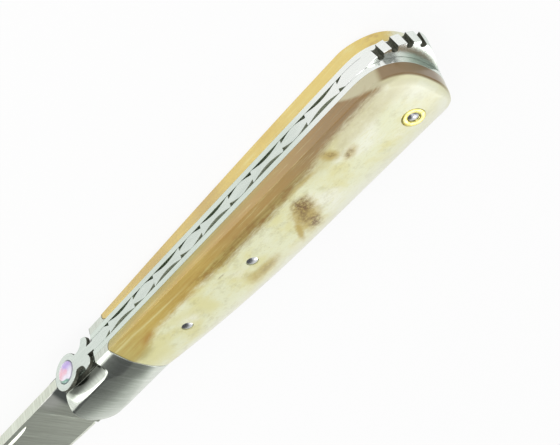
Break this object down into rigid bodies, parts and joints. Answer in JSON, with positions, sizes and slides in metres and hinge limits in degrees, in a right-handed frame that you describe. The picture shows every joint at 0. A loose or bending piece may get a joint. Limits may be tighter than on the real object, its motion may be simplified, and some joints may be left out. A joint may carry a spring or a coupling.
{
  "type": "folding pocket knife",
  "caption": "Slip-joint folding pocket knife, open, with a bee-headed file-worked back spring set with an opal, steel front bolsters and bone scales.",
  "frame": {"origin": "under the middle of the open knife's box, on the flat crown of the pile-side scale that it lies on", "axes": "+X from the blade's tip to the handle's butt, +Y out of the handle's back, where the spring is, +Z out of the mark side, with the nail nick"},
  "size_m": [0.2088, 0.0214, 0.013],
  "materials": {
    "blade_steel": "satin, brushed across the blade",
    "spring_steel": "polished, darker in the file work",
    "liner_steel": "polished edges",
    "bolster_steel": "satin to polished",
    "pin_steel": "polished, flush",
    "bone": "polished bone, amber along the back, brown mottles",
    "rosette_brass": "polished",
    "opal": "polished cabochon with violet, pink and green flashes"
  },
  "bodies": {
    "handle": {"liner_mark": "liner_steel", "liner_pile": "liner_steel", "bolster_mark": "bolster_steel", "bolster_pile": "bolster_steel", "scale_mark": "bone", "scale_pile": "bone", "spring_rear_body": "spring_steel", "pivot_pin": "pin_steel", "spring_pin": "pin_steel", "butt_pin": "pin_steel", "rosette_mark": "rosette_brass", "rosette_pile": "rosette_brass", "scale_pin_front_mark": "pin_steel", "scale_pin_front_pile": "pin_steel", "scale_pin_middle_mark": "pin_steel", "scale_pin_middle_pile": "pin_steel"},
    "blade": {"blade": "blade_steel"},
    "spring_front": {"spring_arm": "spring_steel", "opal_cabochon": "opal"}
  },
  "joints": [
    {"name": "blade_hinge", "type": "hinge", "parent": "handle", "child": "blade", "pos_m": [-0.00887, -0.0007, 0.0065], "axis": [0, 0, 1], "range_deg": [0, 178]},
    {"name": "spring_lift", "type": "hinge", "parent": "handle", "child": "spring_front", "pos_m": [0.03713, 0.0069, 0.0065], "axis": [0, 0, -1], "range_deg": [0, 0.8], "stiffness_Nm_per_rad": 0.5, "springref_deg": -1.15}
  ]
}
